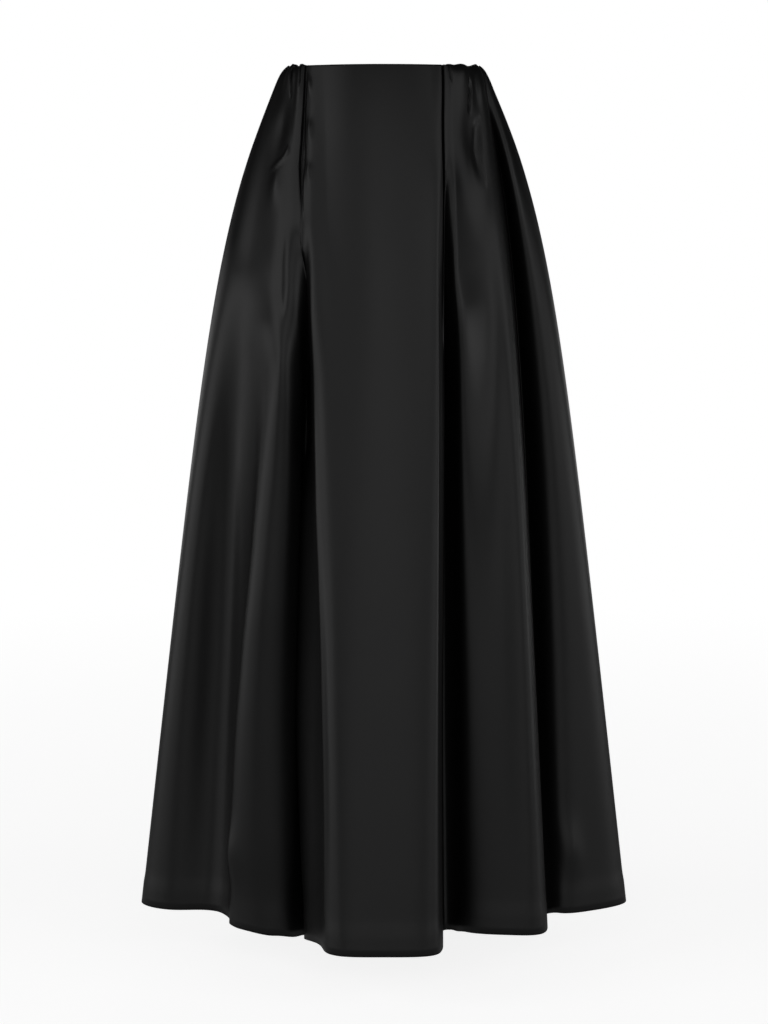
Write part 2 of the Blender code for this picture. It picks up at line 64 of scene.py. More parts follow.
FOLD_LINES = (
    # name, waist_angle, hem_across, hem_forward, hip_across, middle_forward, opens_at, hem_low
    ("centre_back", -180.0, 0.0000, -0.2240, 0.000, 0.000, 0.00, 0.000),
    ("back_left_flat", -166.0, -0.0460, -0.2190, 0.000, 0.000, 0.00, 0.000),
    ("back_left_edge", -153.0, -0.0740, -0.1960, 0.000, 0.000, 0.15, 0.000),
    ("back_left_fold", -148.0, -0.0920, -0.1220, -0.012, 0.006, 0.15, 0.000),
    ("back_left_ridge", -134.0, -0.1420, -0.1460, -0.004, 0.000, 0.15, 0.000),
    ("back_left_turn", -117.0, -0.1880, -0.1180, -0.006, 0.000, 0.08, 0.000),
    ("back_left_side_fold", -108.0, -0.2120, -0.0620, -0.018, 0.008, 0.05, 0.000),
    ("back_left_side_ridge", -98.0, -0.2720, -0.0460, -0.010, 0.000, 0.10, 0.000),
    ("left_side", -90.0, -0.3060, 0.0000, 0.000, 0.000, 0.00, 0.000),
    ("left_cheek", -81.0, -0.2640, 0.0370, -0.008, 0.006, 0.20, 0.000),
    ("left_hollow", -73.0, -0.2080, 0.0440, -0.010, 0.000, 0.24, 0.000),
    ("left_ridge", -64.0, -0.1700, 0.1000, 0.004, 0.012, 0.30, 0.005),
    ("left_crest", -58.0, -0.1330, 0.1130, 0.000, 0.004, 0.34, 0.009),
    ("left_shade", -54.0, -0.1060, 0.1010, -0.006, -0.002, 0.26, 0.014),
    ("left_fold", -51.0, -0.0790, 0.0880, -0.007, -0.002, 0.18, 0.017),
    ("panel_left_edge", -48.5, -0.0675, 0.2020, -0.006, 0.003, 0.18, 0.000),
    ("panel_left", -36.0, -0.0500, 0.2300, -0.002, 0.000, 0.00, 0.000),
    ("panel_centre", -7.5, 0.0000, 0.2335, 0.000, 0.000, 0.00, 0.000),
    ("panel_right", 22.0, 0.0500, 0.2300, 0.002, 0.000, 0.00, 0.000),
    ("panel_right_edge", 34.0, 0.0695, 0.2030, 0.006, 0.003, 0.12, 0.000),
    ("right_fold", 36.5, 0.0745, 0.1060, 0.005, -0.004, 0.10, 0.005),
    ("right_rise", 41.0, 0.0870, 0.1120, 0.003, -0.002, 0.24, 0.004),
    ("right_face", 48.0, 0.1010, 0.1320, 0.001, 0.000, 0.28, 0.000),
    ("right_ridge", 59.0, 0.1550, 0.1447, 0.002, 0.002, 0.10, 0.000),
    ("right_edge", 75.0, 0.1950, 0.1320, 0.000, 0.015, 0.02, 0.000),
    ("right_side_fold", 79.5, 0.2015, 0.0420, 0.005, -0.010, 0.02, 0.004),
    ("right_side_shade", 83.0, 0.2180, 0.0500, 0.011, 0.000, 0.12, 0.000),
    ("right_cheek", 86.5, 0.2600, 0.0390, 0.012, 0.008, 0.10, 0.000),
    ("right_side", 90.0, 0.3060, -0.0040, 0.000, 0.000, 0.00, 0.000),
    ("back_right_side_ridge", 99.0, 0.2660, -0.0520, 0.008, 0.000, 0.12, 0.000),
    ("back_right_side_fold", 110.0, 0.2060, -0.0660, 0.016, 0.008, 0.05, 0.000),
    ("back_right_turn", 119.0, 0.1830, -0.1240, 0.006, 0.000, 0.08, 0.000),
    ("back_right_ridge", 136.0, 0.1360, -0.1500, 0.004, 0.000, 0.17, 0.000),
    ("back_right_fold", 149.0, 0.0880, -0.1180, 0.012, 0.008, 0.17, 0.000),
    ("back_right_edge", 154.0, 0.0720, -0.1980, 0.000, 0.000, 0.17, 0.000),
    ("back_right_flat", 167.0, 0.0440, -0.2200, 0.000, 0.000, 0.00, 0.000),
)

GATHERS = (
    # waist_angle, half_width, height, run
    (-130.5, 5.0, 0.0030, 0.040),
    (-120.0, 5.5, 0.0044, 0.055),
    (-108.5, 6.0, 0.0038, 0.070),
    (-96.0, 6.5, 0.0048, 0.050),
    (-83.0, 6.5, 0.0040, 0.065),
    (-68.5, 8.0, 0.0056, 0.045),
    (-55.7, 4.7, 0.0040, 0.035),
    (42.5, 5.0, 0.0022, 0.022),
    (53.0, 9.5, 0.0036, 0.045),
    (70.5, 8.0, 0.0052, 0.075),
    (84.5, 6.0, 0.0040, 0.050),
    (96.5, 6.0, 0.0046, 0.065),
    (108.0, 5.5, 0.0036, 0.045),
    (118.5, 5.0, 0.0044, 0.060),
    (128.5, 5.0, 0.0028, 0.040),
)
GATHERED_STRETCHES = ((-135.5, -51.0), (36.5, 133.5))
GATHER_EDGE = 0.60           # share of their height that the gathers have at the very edge
GATHER_EDGE_RUN = 0.008
GATHER_RISE = 0.9            # how far a gather's crest rises above the edge, for its height
GATHER_RISE_RUN = 0.010

# The panel's edges lean a little off their straight run
LEANS = (
    # first and last waist_angle of the full lean, degrees it fades over to the left and to the right,
    # stops of (drop, shift to the right)
    (-49.2, -46.5, 1.8, 9.0, ((0.0, -0.003), (0.08, -0.005), (0.15, -0.006), (0.27, -0.005), (0.38, -0.002),
                              (0.51, -0.002), (0.61, 0.000), (0.75, 0.002), (0.88, 0.001), (1.04, -0.003))),
    (-56.0, -51.0, 18.0, 1.8, ((0.0, -0.003), (0.08, -0.005), (0.15, -0.006), (0.27, -0.004), (0.38, -0.003),
                              (0.51, -0.003), (0.61, -0.004), (0.75, -0.004), (0.88, -0.002), (1.04, 0.000))),
    (33.0, 37.0, 6.0, 4.5, ((0.0, 0.003), (0.08, 0.000), (0.15, -0.001), (0.30, -0.0045), (0.46, -0.0045),
                            (0.75, -0.0035), (1.04, -0.0010))),
)

# Creases: each starts at its lip, falls over its wall, runs level over its floor and comes up again
# over its rise. It lies to the right of its lip where side is 1 and to the left where side is -1. It
# is pressed straight in, away from the direction it opens towards. A negative depth is a ridge.
CREASES = (
    # name, opens_towards, side, stops of (drop, waist_angle, depth, wall, floor, rise)
    ("right_pleat", 15.0, 1, (
        (0.000, 34.4, 0.0050, 0.0008, 0.0012, 0.0025),
        (0.080, 34.2, 0.0070, 0.0008, 0.0015, 0.0030),
        (0.160, 34.2, 0.0100, 0.0010, 0.0025, 0.0040),
        (0.230, 34.2, 0.0110, 0.0010, 0.0040, 0.0080),
        (0.300, 34.2, 0.0080, 0.0010, 0.0050, 0.0100),
        (0.420, 34.2, 0.0000, 0.0010, 0.0050, 0.0100))),
    ("left_seam", -20.0, 1, (
        (0.000, -53.0, 0.0030, 0.0012, 0.0010, 0.0020),
        (0.030, -52.8, 0.0045, 0.0012, 0.0012, 0.0030),
        (0.080, -52.6, 0.0060, 0.0012, 0.0020, 0.0050),
        (0.110, -52.8, 0.0060, 0.0012, 0.0040, 0.0060),
        (0.140, -52.2, 0.0045, 0.0012, 0.0020, 0.0040),
        (0.185, -51.0, 0.0000, 0.0012, 0.0010, 0.0020))),
    ("left_tuck", -35.0, 1, (
        (0.000, -66.0, 0.0040, 0.0015, 0.0010, 0.0020),
        (0.024, -64.5, 0.0030, 0.0015, 0.0010, 0.0025),
        (0.040, -64.0, 0.0000, 0.0015, 0.0010, 0.0025))),
    ("left_little_tuck", -35.0, 1, (
        (0.000, -56.5, 0.0035, 0.0010, 0.0008, 0.0018),
        (0.014, -56.0, 0.0025, 0.0010, 0.0008, 0.0018),
        (0.026, -56.0, 0.0000, 0.0010, 0.0008, 0.0018))),
    ("left_catch", -35.0, 1, (
        (0.092, -62.0, 0.0000, 0.0040, 0.0010, 0.0040),
        (0.102, -63.0, -0.0018, 0.0050, 0.0010, 0.0060),
        (0.118, -68.5, -0.0016, 0.0050, 0.0010, 0.0060),
        (0.128, -71.0, 0.0000, 0.0040, 0.0010, 0.0040))),
    ("right_little_tuck", 35.0, 1, (
        (0.000, 41.0, 0.0030, 0.0010, 0.0010, 0.0020),
        (0.012, 41.5, 0.0020, 0.0010, 0.0010, 0.0020),
        (0.024, 42.0, 0.0000, 0.0010, 0.0010, 0.0020))),
    ("right_tuck", 40.0, 1, (
        (0.012, 56.5, 0.0000, 0.0012, 0.0015, 0.0020),
        (0.028, 56.0, 0.0055, 0.0012, 0.0015, 0.0030),
        (0.044, 55.0, 0.0050, 0.0012, 0.0015, 0.0030),
        (0.058, 54.6, 0.0000, 0.0012, 0.0015, 0.0030))),
    ("right_tuck_lower", 40.0, -1, (
        (0.056, 64.0, 0.0000, 0.0030, 0.0020, 0.0080),
        (0.076, 63.5, 0.0040, 0.0030, 0.0030, 0.0100),
        (0.108, 62.0, 0.0040, 0.0030, 0.0030, 0.0120),
        (0.150, 62.5, 0.0000, 0.0030, 0.0020, 0.0120))),
)

# Swells: soft ridges where height is positive and soft valleys where it is negative
SWELLS = (
    # name, stops of (drop, waist_angle, height, left_width, right_width)
    ("left_valley", (
        (0.300, -76.5, 0.0000, 0.020, 0.020),
        (0.424, -76.5, -0.0020, 0.022, 0.020),
        (0.548, -76.5, -0.0050, 0.024, 0.020),
        (0.672, -76.5, -0.0060, 0.026, 0.020),
        (0.796, -76.5, -0.0060, 0.028, 0.020),
        (0.924, -76.5, -0.0050, 0.030, 0.020),
        (1.040, -76.5, -0.0030, 0.030, 0.020))),
    ("left_ridge", (
        (0.300, -63.0, 0.0000, 0.016, 0.020),
        (0.440, -63.0, 0.0040, 0.016, 0.022),
        (0.560, -63.0, 0.0090, 0.015, 0.024),
        (0.700, -64.2, 0.0140, 0.014, 0.028),
        (0.820, -65.2, 0.0160, 0.013, 0.032),
        (0.940, -66.0, 0.0150, 0.012, 0.034),
        (1.040, -66.8, 0.0080, 0.012, 0.032))),
    ("left_fold_start", (
        (0.100, -51.8, 0.0000, 0.012, 0.010),
        (0.180, -51.6, 0.0040, 0.022, 0.008),
        (0.240, -51.6, 0.0100, 0.028, 0.009),
        (0.300, -51.6, 0.0130, 0.030, 0.009),
        (0.370, -52.0, 0.0090, 0.028, 0.008),
        (0.460, -52.6, 0.0000, 0.022, 0.006))),
    ("right_fold_start", (
        (0.100, 37.5, 0.0000, 0.006, 0.010),
        (0.160, 37.5, 0.0040, 0.006, 0.012),
        (0.230, 37.8, 0.0060, 0.006, 0.012),
        (0.300, 38.2, 0.0040, 0.006, 0.010),
        (0.380, 38.5, 0.0000, 0.006, 0.008))),
    ("left_inner_slope", (
        (0.240, -54.5, 0.0000, 0.014, 0.008),
        (0.320, -54.5, 0.0050, 0.020, 0.010),
        (0.400, -54.8, 0.0130, 0.026, 0.013),
        (0.540, -55.6, 0.0170, 0.034, 0.015),
        (0.664, -56.3, 0.0180, 0.036, 0.016),
        (0.788, -56.3, 0.0170, 0.038, 0.016),
        (0.912, -56.3, 0.0140, 0.040, 0.018),
        (1.040, -56.5, 0.0060, 0.040, 0.018))),
    ("left_wall_foot", (
        (0.400, -50.4, 0.0000, 0.008, 0.020),
        (0.540, -50.2, 0.0190, 0.012, 0.034),
        (0.664, -50.2, 0.0270, 0.014, 0.046),
        (0.788, -50.2, 0.0310, 0.016, 0.054),
        (0.912, -50.2, 0.0290, 0.016, 0.054),
        (1.040, -50.2, 0.0240, 0.016, 0.050))),
    ("panel_left_line", (
        (0.220, -47.6, 0.0000, 0.002, 0.005),
        (0.300, -47.6, 0.0010, 0.002, 0.005),
        (0.900, -47.6, 0.0014, 0.002, 0.006),
        (1.000, -47.6, 0.0006, 0.002, 0.006))),
    ("back_left_upper_crease", (
        (0.050, -144.0, 0.0000, 0.010, 0.012),
        (0.120, -145.0, -0.0040, 0.010, 0.014),
        (0.300, -147.0, -0.0030, 0.012, 0.016),
        (0.420, -148.0, 0.0000, 0.012, 0.016))),
    ("back_left_gather_crease", (
        (0.030, -124.0, 0.0000, 0.008, 0.010),
        (0.090, -125.0, -0.0045, 0.008, 0.012),
        (0.220, -128.0, -0.0020, 0.010, 0.014),
        (0.340, -130.0, 0.0000, 0.010, 0.014))),
    ("back_left_hip_crease", (
        (0.090, -113.0, 0.0000, 0.012, 0.016),
        (0.190, -112.0, -0.0050, 0.014, 0.018),
        (0.370, -112.0, 0.0000, 0.014, 0.018))),
    ("back_left_low_swell", (
        (0.550, -160.0, 0.0000, 0.020, 0.020),
        (0.720, -161.0, 0.0060, 0.020, 0.022),
        (0.950, -163.0, 0.0040, 0.020, 0.024),
        (1.040, -164.0, 0.0010, 0.020, 0.024))),
    ("back_left_zip_end", (
        (0.190, -173.0, 0.0000, 0.006, 0.010),
        (0.240, -171.0, -0.0030, 0.006, 0.012),
        (0.360, -167.0, 0.0000, 0.008, 0.014))),
    ("back_right_zip_end", (
        (0.185, 174.0, 0.0000, 0.010, 0.006),
        (0.225, 172.0, -0.0030, 0.012, 0.006),
        (0.320, 168.0, 0.0000, 0.014, 0.008))),
    ("back_right_low_swell", (
        (0.620, 158.0, 0.0000, 0.020, 0.020),
        (0.800, 159.0, 0.0060, 0.022, 0.020),
        (1.040, 161.0, 0.0020, 0.022, 0.020))),
    ("back_right_upper_crease", (
        (0.120, 143.0, 0.0000, 0.014, 0.012),
        (0.240, 144.0, -0.0050, 0.018, 0.014),
        (0.480, 146.0, 0.0000, 0.018, 0.014))),
    ("back_right_gather_crease", (
        (0.020, 129.0, 0.0000, 0.010, 0.008),
        (0.070, 130.0, -0.0040, 0.012, 0.008),
        (0.180, 133.0, -0.0020, 0.014, 0.010),
        (0.270, 135.0, 0.0000, 0.014, 0.010))),
    ("back_right_hip_crease", (
        (0.040, 112.0, 0.0000, 0.012, 0.010),
        (0.110, 113.0, -0.0045, 0.014, 0.010),
        (0.260, 116.0, -0.0030, 0.016, 0.012),
        (0.400, 118.0, 0.0000, 0.016, 0.012))),
)

# Puckers: mounds where height is positive and dimples where it is negative
PUCKERS = (
    # drop, waist_angle, height, half_length, half_width
    (0.022, -48.6, 0.0020, 0.009, 0.0030),
    (0.075, -47.6, 0.0020, 0.010, 0.0035),
    (0.124, -48.0, 0.0018, 0.008, 0.0035),
    (0.070, -67.0, -0.0045, 0.036, 0.0140),
    (0.140, -66.0, 0.0025, 0.018, 0.0090),
    (0.090, 56.0, -0.0045, 0.034, 0.0110),
    (0.028, 66.0, 0.0025, 0.018, 0.0060),
    (0.170, 58.0, 0.0020, 0.030, 0.0140),
    (0.950, -65.5, 0.0050, 0.035, 0.0100),
    (0.962, 85.0, 0.0040, 0.030, 0.0140),
    (0.018, -140.0, 0.0016, 0.010, 0.0050),
    (0.034, -126.0, 0.0020, 0.012, 0.0040),
    (0.052, -114.5, -0.0030, 0.020, 0.0060),
    (0.196, -176.0, -0.0014, 0.010, 0.0060),
    (0.192, 176.5, -0.0012, 0.008, 0.0060),
    (0.060, 122.5, -0.0030, 0.022, 0.0070),
    (0.040, 106.5, 0.0022, 0.014, 0.0050),
)

PIECES = (
    # name, from fold line, to fold line, how it is held, cut width at the hem, flat area
    ("back_left", "centre_back", "left_side", "gathered", 0.49, 0.41),
    ("front_left", "left_side", "left_fold", "gathered", 0.32, 0.27),
    ("front_centre", "left_fold", "right_fold", "draped", 0.42, 0.36),
    ("front_right", "right_fold", "right_side", "gathered", 0.39, 0.35),
    ("back_right", "right_side", "centre_back", "gathered", 0.50, 0.42),
)

# Mesh spacing of the cloth
ROWS = 190
ROW_EVENNESS = 0.29          # share of the rows' spacing that doesn't grow towards the hem
ROW_GROWTH = 1.9
COLUMN_AT_HEM = 0.0034
COLUMN_AT_WAIST = 0.0012
# How many times closer the columns are between these fold lines and the next
FINER = {"left_crest": 1.3, "left_shade": 2.0, "right_rise": 1.3, "right_ridge": 1.3,
         "right_edge": 2.6, "right_side_fold": 1.6, "right_side_shade": 1.6}

# How the cloth turns in at its edges
CLOTH = 0.00045              # thickness of the satin
LAYER = 0.0007               # clearance between its layers
SEAM_COLUMNS = 4
WAIST_TURNING = 0.022
HEM_TURNING = 0.038
HEM_RELIEF = 0.0008          # how far the turned-up cloth stands out behind the hem
HEM_RELIEF_RUN = 0.008

# Concealed zip in the centre back seam, which opens in a short slot round the slider's neck
SLIDER_DROP = 0.014
SLOT_HALF_WIDTH = 0.0015
SLOT_REACH = 0.009
SLOT_FADE = 0.007            # how far the cloth beside the slot moves with it
TAPE_INSIDE = 0.0028         # from the cloth's outer face to the tapes' inner face
COIL_START = 0.026
COIL_END = 0.186
COIL_PITCH = 0.0013
COIL_STEPS = 10              # places round each turn
COIL_WIDTH = 0.0034
COIL_DEPTH = 0.0009
COIL_SET_IN = 1.4            # halves of its depth from the tapes' inner face to its middle
COIL_WIRE = 0.00024
STITCH = 0.0021
STITCH_PITCH = 0.0028
STITCH_ACROSS = 0.0068
STITCH_LIFTS = (-0.6, 1.0, 1.0, -0.6)   # thread radii that a stitch's places stand off the tape
THREAD = 0.00016

# Finish of the materials
PATCH_SHARE = 0.6            # how fine the changes in colour and gloss are beside the first bump
GRAIN_DETAIL = 2.0

# The photograph's camera, matched to a skirt of MATCHED_LENGTH and scaled with it
MATCHED_LENGTH = 1.018
CAMERA_DISTANCE = 3.0
CAMERA_DROP = 0.157          # below the waist edge
CAMERA_TILT = 7.119
CAMERA_LENS = 87.54

# The white room
WHITE = (1, 1, 1, 1)
PAPER = (0.9, 0.9, 0.9, 1)
PAPER_ROUGHNESS = 0.9
FLOOR_HEIGHT = -1.10
FLOOR_RADIUS = 12.0
FLOOR_SIDES = 96
FLOOR_GLOW = 0.06            # what the floor gives the cloth
NEAR_FLOOR_SEEN = 0.78       # what the camera sees of it round the skirt
FLOOR_FADE = (0.5, 3.0)      # distances between which the floor turns into plain white
ROOM_LIGHT = 0.02

# Softboxes in front, in an arc round the skirt
SOFTBOX_DISTANCE = 4.8
SOFTBOX_HEIGHT = 0.8
SOFTBOX_TARGET = (0, 0, -0.6)
SOFTBOX_TALL = 3.8
SOFTBOXES = (
    # name, azimuth, width, power
    ("softbox_left", -60, 3.0, 40),
    ("softbox_centre", -2, 4.4, 37),
    ("softbox_right", 52, 3.2, 34),
)

# Lamps beside and behind the skirt
LAMPS = (
    # name, place, target, size, power
    ("rim_left", (-4.2, 0.2, -0.72), (0, 0, -0.98), (2.4, 0.7), 10),
    ("back_left", (-2.8, 3.6, -0.60), (0, 0, -0.95), (2.4, 0.9), 6),
    ("rim_right", (4.2, 0.2, -0.72), (0, 0, -0.98), (2.4, 0.7), 11),
    ("back_right", (2.8, 3.6, -0.60), (0, 0, -0.95), (2.4, 0.9), 7),
    ("softbox_back", (0, 4.8, 0.30), (0, 0, -0.50), (2.6, 2.4), 12),
)


def rib(name):
    """The place of a fold line in the table."""
    return [row[0] for row in FOLD_LINES].index(name)


def half_width(drop):
    """Half the skirt's width, seen from the front, at a drop below the waist edge."""
    flare_at_waist = HEM_HALF_WIDTH - FLARE_SLOPE * LENGTH
    hip = (flare_at_waist - WAIST_HALF_WIDTH) * np.exp(-drop / HIP_LENGTH)
    return flare_at_waist + FLARE_SLOPE * drop - hip


def across_share(drop):
    """How far the width has grown from the waist to the hem, from 0 to 1."""
    top, end = half_width(0.0), half_width(LENGTH)
    return (half_width(drop) - top) / (end - top)


def forward_share(drop):
    """How far the depth has grown from the waist to the hem, from 0 to 1."""
    return DEPTH_FOLLOWS_HIP * across_share(drop) + (1 - DEPTH_FOLLOWS_HIP) * drop / LENGTH


def opening(drop, opens_at):
    """How far a fold has opened at a drop, from 0 above its start to 1 at the hem."""
    run = np.clip((drop - opens_at) / (LENGTH - opens_at), 0.0, 1.0)
    soft = run * run / (run + OPENING_START) * (1 + OPENING_START)
    return (1 - np.exp(-OPENING_EASE * soft)) / (1 - math.exp(-OPENING_EASE))


def hip_stray(drop):
    """How much of its hip shift a fold line has at a drop: all of it a third of the way down."""
    share = drop / LENGTH
    return 27 / 4 * share * (1 - share) ** 2


def middle_bulge(drop):
    """How much of its middle shift a fold line has at a drop: none at the waist and hem, all halfway."""
    share = drop / LENGTH
    return 4 * share * (1 - share)


def hem_drop(columns, drop):
    """How far the cloth hangs below its even height at a drop, because less of it slants outwards."""
    lows = np.array([row[-1] for row in FOLD_LINES] + [FOLD_LINES[0][-1]])
    line = np.floor(columns).astype(int) % len(FOLD_LINES)
    share = soft_step(columns - np.floor(columns))
    return (lows[line] + (lows[line + 1] - lows[line]) * share) * (drop / LENGTH) ** 2


def smooth_hem(across, front):
    """How far forward the hem would stand there if the cloth had no folds."""
    depth = HEM_FRONT_DEPTH if front else -HEM_BACK_DEPTH
    return depth * math.sqrt(max(0.0, 1 - (across / HEM_HALF_WIDTH) ** 2))


def fold_line_points(drop):
    """Where every fold line stands at a drop: one (across, forward) row for each."""
    points = []
    stray, middle = hip_stray(drop), middle_bulge(drop)
    for _, waist_angle, hem_across, hem_forward, hip_across, middle_forward, opens_at, _ in FOLD_LINES:
        angle = math.radians(waist_angle)
        waist = WAIST_HALF_WIDTH * math.sin(angle), WAIST_DEPTH * math.cos(angle)
        smooth = smooth_hem(hem_across, abs(waist_angle) < 90)
        fold = (hem_forward - smooth) * opening(drop, opens_at)
        across = waist[0] + (hem_across - waist[0]) * across_share(drop) + hip_across * stray
        forward = waist[1] + (smooth - waist[1]) * forward_share(drop) + fold + middle_forward * middle
        points.append((across, forward))
    return np.array(points)


def closed_spline(points, columns):
    """A smooth closed curve through the points, read at columns such as 3.25; its places and tangents."""
    count = len(points)
    following = np.roll(points, -1, axis=0)
    span = np.linalg.norm(following - points, axis=1) ** 0.5
    before = np.roll(span, 1)
    system = np.zeros((count, count))
    right = np.zeros((count, 2))
    rise = (following - points) / span[:, None]
    for i in range(count):
        system[i, i - 1] += before[i]
        system[i, i] += 2 * (before[i] + span[i])
        system[i, (i + 1) % count] += span[i]
        right[i] = 6 * (rise[i] - rise[i - 1])
    bend = np.linalg.solve(system, right)
    i = np.floor(columns).astype(int) % count
    j = (i + 1) % count
    h = span[i][:, None]
    t = (columns - np.floor(columns))[:, None] * h
    slope = rise[i] - h * (2 * bend[i] + bend[j]) / 6
    place = points[i] + slope * t + bend[i] * t ** 2 / 2 + (bend[j] - bend[i]) * t ** 3 / (6 * h)
    tangent = slope + bend[i] * t + (bend[j] - bend[i]) * t ** 2 / (2 * h)
    return place, tangent


def waist_angles(columns):
    """The angle at the waist, in degrees, of each column."""
    angles = np.array([row[1] for row in FOLD_LINES] + [180.0])
    return np.interp(columns, np.arange(len(angles)), angles)


def gather_relief(angles, drop):
    """How far the gathers push the cloth out at each column."""
    relief = np.zeros_like(angles)
    edge = 1 - (1 - GATHER_EDGE) * math.exp(-drop / GATHER_EDGE_RUN)
    for waist_angle, half_width_deg, height, run in GATHERS:
        from_crest = np.clip((angles - waist_angle) / half_width_deg, -1, 1)
        relief += height * edge * math.exp(-drop / run) * (1 + np.cos(np.pi * from_crest)) / 2
    puff = PUFF * (1 - math.exp(-drop / PUFF_START)) * math.exp(-drop / PUFF_FADE)
    for first, last in GATHERED_STRETCHES:
        inside = np.minimum(angles - first, last - angles) / PUFF_ENDS
        relief += puff * np.sin(np.clip(inside, 0, 1) * np.pi / 2) ** 2
    return relief


def section(columns, angles, drop):
    """The outer face of the cloth at one drop, one point for each column."""
    flat, tangent = closed_spline(fold_line_points(drop), columns)
    outward = np.stack([-tangent[:, 1], tangent[:, 0]], axis=1)
    outward /= np.linalg.norm(outward, axis=1)[:, None]
    flat = flat + outward * gather_relief(angles, drop)[:, None]
    rise = GATHER_RISE * math.exp(-drop / GATHER_RISE_RUN) * gather_relief(angles, 0.0)
    height = EDGE_ABOVE_WAIST - drop - hem_drop(columns, drop) + rise
    return np.stack([flat[:, 0], -flat[:, 1], height], axis=1)


def column_places():
    """Columns round the whole skirt, with one on every fold line, as fine as the hem and waist ask."""
    waist, hem = fold_line_points(0.0), fold_line_points(LENGTH)
    places = []
    count = len(FOLD_LINES)
    for line in range(count):
        following = (line + 1) % count
        at_waist = np.linalg.norm(waist[following] - waist[line]) / COLUMN_AT_WAIST
        at_hem = np.linalg.norm(hem[following] - hem[line]) / COLUMN_AT_HEM
        steps = math.ceil(max(at_waist, at_hem) * FINER.get(FOLD_LINES[line][0], 1.0))
        places.extend(line + np.arange(steps) / steps)
    return np.array(places + [count], float)


def unit(vectors):
    """The vectors at length 1."""
    return vectors / np.linalg.norm(vectors, axis=-1)[..., None]


def outwards(points):
    """The direction straight out of the cloth at every point of its grid."""
    along = unit(np.gradient(points, axis=1))
    down = unit(np.gradient(points, axis=0))
    return unit(np.cross(down, along))


def soft_step(share):
    """From 0 to 1 with a level start and end."""
    share = np.clip(share, 0, 1)
    return share * share * (3 - 2 * share)


def smooth_run(places, stops, values):
    """A smooth run through the values at the stops, level beyond the first and the last."""
    stops, values = np.array(stops), np.array(values)
    rise = np.diff(values) / np.diff(stops)
    slope = np.zeros(len(stops))
    steady = rise[:-1] * rise[1:] > 0
    slope[1:-1][steady] = 2 * rise[:-1][steady] * rise[1:][steady] / (rise[:-1] + rise[1:])[steady]
    places = np.clip(places, stops[0], stops[-1])
    i = np.clip(np.searchsorted(stops, places, side="right") - 1, 0, len(stops) - 2)
    h = stops[i + 1] - stops[i]
    t = (places - stops[i]) / h
    return ((1 + 2 * t) * (1 - t) ** 2 * values[i] + t * (1 - t) ** 2 * h * slope[i]
            + t * t * (3 - 2 * t) * values[i + 1] + t * t * (t - 1) * h * slope[i + 1])


